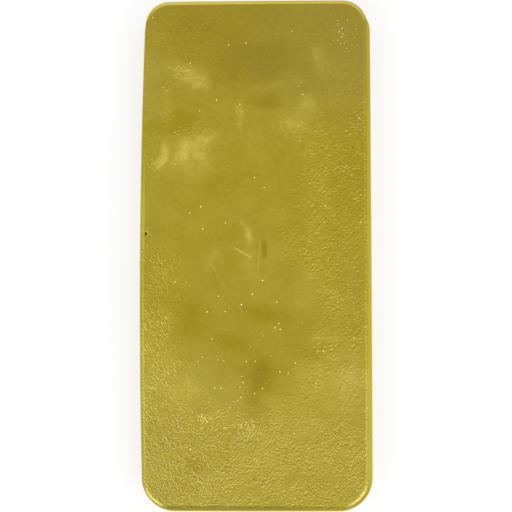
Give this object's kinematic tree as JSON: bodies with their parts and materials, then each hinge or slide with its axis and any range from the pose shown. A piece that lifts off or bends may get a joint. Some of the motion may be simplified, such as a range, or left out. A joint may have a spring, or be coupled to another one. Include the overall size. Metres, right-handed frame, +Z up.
{
  "type": "cast gold ingot",
  "caption": "Flat cast bar of gold with drafted sides, rounded corners and edges and a wrinkled mould face, kept as raw stock.",
  "frame": {"origin": "middle of the bar's footprint, on the surface that it lies on", "axes": "+X across the bar, +Y along it towards the head of the picture, +Z up through the mould face"},
  "size_m": [0.0532, 0.117, 0.0088],
  "materials": {
    "gold": "satin"
  },
  "bodies": {
    "root": {"ingot": "gold"}
  },
  "joints": []
}
